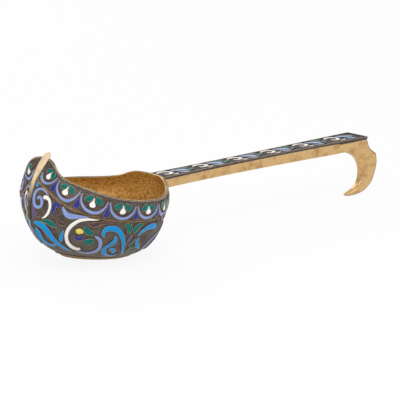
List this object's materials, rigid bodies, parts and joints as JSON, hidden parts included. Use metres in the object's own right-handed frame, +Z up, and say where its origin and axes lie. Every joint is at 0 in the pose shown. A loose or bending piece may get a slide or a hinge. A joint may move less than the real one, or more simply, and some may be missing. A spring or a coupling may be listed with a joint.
{
  "type": "enamelled ladle",
  "caption": "Boat-shaped drinking ladle with a pointed prow, a low oval foot and a long flat handle that ends in a down-turned hook",
  "frame": {"origin": "on the table plane, at the middle of the ladle's length and width as it rests", "axes": "+X runs along the ladle from the prow of the bowl to the hook, +Z is up from the table, -Y is the side that the picture shows"},
  "size_m": [0.181, 0.0486, 0.0431],
  "materials": {
    "gilt_body": "worn gilding over silver, satin, tarnished brown in the enamelled ground",
    "gilt_trim": "pale gilding, rubbed bright on the rim and the prow strip",
    "enamel_white": "opaque white cell enamel, glossy, slightly domed",
    "enamel_pale": "opaque pale blue cell enamel, glossy",
    "enamel_azure": "azure cell enamel, glossy",
    "enamel_teal": "teal green cell enamel, glossy",
    "enamel_cobalt": "dark cobalt cell enamel, glossy",
    "enamel_lilac": "lilac cell enamel, glossy",
    "enamel_maroon": "maroon cell enamel, glossy",
    "enamel_yellow": "yellow cell enamel, glossy"
  },
  "bodies": {
    "root": {"bowl_shell": "gilt_body", "foot_ring": "gilt_body", "prow_strip": "gilt_trim", "rim_band": "gilt_trim", "rim_rope_wire": "gilt_trim", "line_wire": "gilt_trim", "base_wire": "gilt_trim", "handle_channel": "gilt_body", "handle_top_plate": "gilt_body", "handle_wire_near": "gilt_trim", "handle_wire_far": "gilt_trim", "handle_end_wire": "gilt_trim", "handle_hook": "gilt_body", "frieze_scallops": "enamel_pale", "frieze_white_drops": "enamel_white", "frieze_teal_leaves": "enamel_teal", "frieze_cobalt_drops": "enamel_cobalt", "belly_white_scrolls": "enamel_white", "belly_pale_scrolls": "enamel_pale", "belly_azure_scrolls": "enamel_azure", "belly_teal_leaves": "enamel_teal", "belly_cobalt_leaves": "enamel_cobalt", "belly_lilac_leaves": "enamel_lilac", "belly_maroon_leaves": "enamel_maroon", "belly_yellow_buds": "enamel_yellow", "handle_white_scrolls": "enamel_white", "handle_pale_leaves": "enamel_pale", "handle_teal_leaves": "enamel_teal"}
  },
  "joints": []
}
